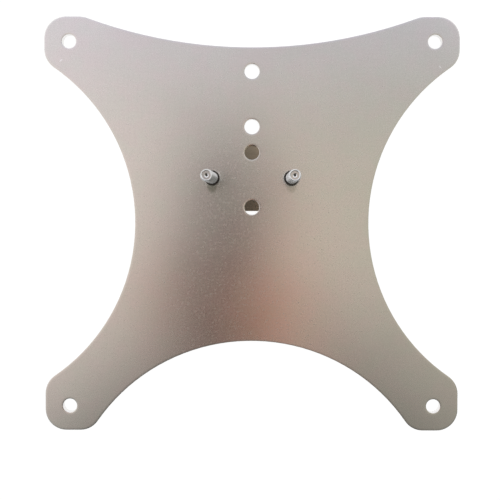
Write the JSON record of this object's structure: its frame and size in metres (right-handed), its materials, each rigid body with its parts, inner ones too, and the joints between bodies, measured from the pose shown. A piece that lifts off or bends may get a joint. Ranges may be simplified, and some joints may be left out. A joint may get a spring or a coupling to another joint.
{
  "type": "license plate bracket",
  "caption": "Flat square number plate bracket in satin aluminium, with rounded arms, deep curved cut-outs, rivet holes in the arms and threaded studs on a bar behind.",
  "frame": {"origin": "under the centre of the square sheet, on the back face of the mounting bar, which is the lowest face", "axes": "+Z from the back of the bar towards the studs' tips, +Y in the sheet towards the edge with the shallow arc, +X to the right when the studs point at the viewer"},
  "size_m": [0.177, 0.177, 0.025],
  "materials": {
    "plate_aluminium": "satin mill finish with a fine grain, as rolled, and lightly deburred edges",
    "bar_aluminium": "plain mill finish, smoother and darker than the sheet",
    "stud_steel": "bright zinc plated, with a rolled thread"
  },
  "bodies": {
    "root": {"plate": "plate_aluminium", "mounting_bar": "bar_aluminium", "stud_left": "stud_steel", "stud_right": "stud_steel"}
  },
  "joints": []
}
